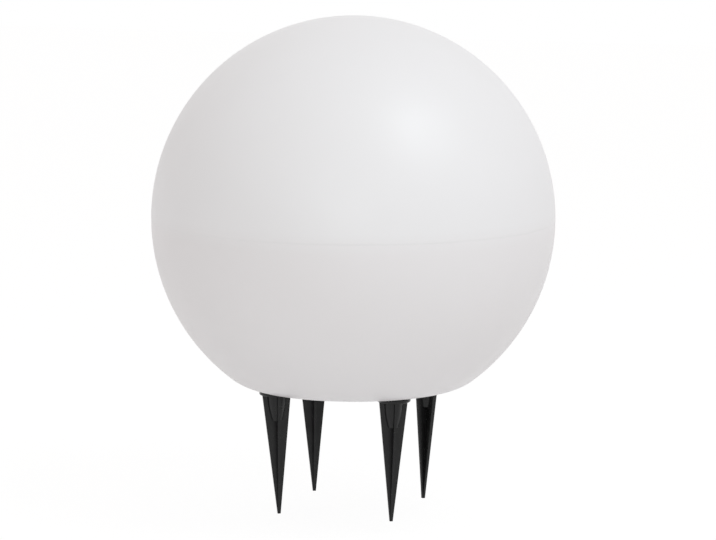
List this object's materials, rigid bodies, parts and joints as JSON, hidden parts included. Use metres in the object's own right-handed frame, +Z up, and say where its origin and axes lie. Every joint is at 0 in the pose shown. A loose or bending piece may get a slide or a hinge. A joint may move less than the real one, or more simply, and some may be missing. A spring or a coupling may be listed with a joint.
{
  "type": "garden globe light",
  "caption": "White hollow globe with a dished underside on four black ribbed ground spikes that screw in, with a lampholder and bulb on a sealed base cover.",
  "frame": {"origin": "on the globe's vertical axis, at the level of the four spike tips", "axes": "+Z up along the globe's axis; the four spikes stand at the corners of a square whose sides run along X and Y; the cable gland lies towards -X and the terminal block towards +X"},
  "size_m": [0.4006, 0.4006, 0.4911],
  "materials": {
    "white_polyethylene": "white, satin, slightly translucent, plain",
    "black_polypropylene": "black, satin",
    "black_abs": "black, fine texture",
    "black_nylon": "black, satin",
    "brass_insert": "turned",
    "zinc_steel": "bright zinc plate",
    "black_rubber": "matte",
    "black_phenolic": "black, semi-gloss",
    "white_ceramic": null,
    "nickel_brass": "nickel plated",
    "clear_nylon": "milky nylon",
    "brown_wire": "brown insulation",
    "blue_wire": "blue insulation",
    "black_glass": "black glass",
    "white_bulb_housing": "white, semi-gloss",
    "led_board": "white solder mask",
    "opal_diffuser": "opal, satin"
  },
  "bodies": {
    "globe": {"globe_shell": "white_polyethylene", "base_cover": "black_abs", "gland_body": "black_nylon", "gland_locknut": "black_nylon", "gland_dome_nut": "black_nylon", "spike_inserts": "brass_insert", "cover_inserts": "brass_insert", "holder_terminals": "brass_insert", "block_tubes": "brass_insert", "cover_screws": "zinc_steel", "bracket_screws": "zinc_steel", "terminal_screws": "zinc_steel", "block_clamp_screws": "zinc_steel", "block_screw": "zinc_steel", "holder_bracket": "zinc_steel", "holder_nipple": "zinc_steel", "nipple_nut": "zinc_steel", "cover_gasket": "black_rubber", "gland_washer": "black_rubber", "gland_seal": "black_rubber", "holder_cap": "black_phenolic", "holder_shell": "black_phenolic", "holder_insulator": "white_ceramic", "holder_screw_sleeve": "nickel_brass", "holder_centre_contact": "nickel_brass", "block_body": "clear_nylon", "lead_line": "brown_wire", "lead_neutral": "blue_wire"},
    "washer_1": {"spike_washer_1": "black_rubber"},
    "spike_1": {"spike_1": "black_polypropylene", "spike_stud_1": "zinc_steel"},
    "washer_2": {"spike_washer_2": "black_rubber"},
    "spike_2": {"spike_2": "black_polypropylene", "spike_stud_2": "zinc_steel"},
    "washer_3": {"spike_washer_3": "black_rubber"},
    "spike_3": {"spike_3": "black_polypropylene", "spike_stud_3": "zinc_steel"},
    "washer_4": {"spike_washer_4": "black_rubber"},
    "spike_4": {"spike_4": "black_polypropylene", "spike_stud_4": "zinc_steel"},
    "bulb_tip": {"bulb_tip_contact": "nickel_brass"},
    "bulb": {"bulb_tip_insulator": "black_glass", "bulb_screw_shell": "nickel_brass", "bulb_housing": "white_bulb_housing", "bulb_led_board": "led_board", "bulb_diffuser": "opal_diffuser"}
  },
  "joints": [
    {"name": "spike_1_travel", "type": "slide", "parent": "globe", "child": "washer_1", "axis": [0.0185, 0.0185, 0.9997], "range_m": [-0.0125, 0]},
    {"name": "spike_1_turn", "type": "hinge", "parent": "washer_1", "child": "spike_1", "pos_m": [0.06017, 0.06017, 0.1244], "axis": [0.0185, 0.0185, 0.9997], "range_deg": [-3600, 0]},
    {"name": "spike_2_travel", "type": "slide", "parent": "globe", "child": "washer_2", "axis": [-0.0185, 0.0185, 0.9997], "range_m": [-0.0125, 0]},
    {"name": "spike_2_turn", "type": "hinge", "parent": "washer_2", "child": "spike_2", "pos_m": [-0.06017, 0.06017, 0.1244], "axis": [-0.0185, 0.0185, 0.9997], "range_deg": [-3600, 0]},
    {"name": "spike_3_travel", "type": "slide", "parent": "globe", "child": "washer_3", "axis": [-0.0185, -0.0185, 0.9997], "range_m": [-0.0125, 0]},
    {"name": "spike_3_turn", "type": "hinge", "parent": "washer_3", "child": "spike_3", "pos_m": [-0.06017, -0.06017, 0.1244], "axis": [-0.0185, -0.0185, 0.9997], "range_deg": [-3600, 0]},
    {"name": "spike_4_travel", "type": "slide", "parent": "globe", "child": "washer_4", "axis": [0.0185, -0.0185, 0.9997], "range_m": [-0.0125, 0]},
    {"name": "spike_4_turn", "type": "hinge", "parent": "washer_4", "child": "spike_4", "pos_m": [0.06017, -0.06017, 0.1244], "axis": [0.0185, -0.0185, 0.9997], "range_deg": [-3600, 0]},
    {"name": "bulb_travel", "type": "slide", "parent": "globe", "child": "bulb_tip", "axis": [0, 0, 1], "range_m": [0, 0.01452]},
    {"name": "bulb_turn", "type": "hinge", "parent": "bulb_tip", "child": "bulb", "pos_m": [0, 0, 0.1919], "axis": [0, 0, 1], "range_deg": [0, 1440]}
  ],
  "couplings": [
    {"joint": "spike_1_travel", "follows": "spike_1_turn", "m_per_rad": 0.00019894},
    {"joint": "spike_2_travel", "follows": "spike_2_turn", "m_per_rad": 0.00019894},
    {"joint": "spike_3_travel", "follows": "spike_3_turn", "m_per_rad": 0.00019894},
    {"joint": "spike_4_travel", "follows": "spike_4_turn", "m_per_rad": 0.00019894},
    {"joint": "bulb_travel", "follows": "bulb_turn", "m_per_rad": 0.00057757}
  ]
}
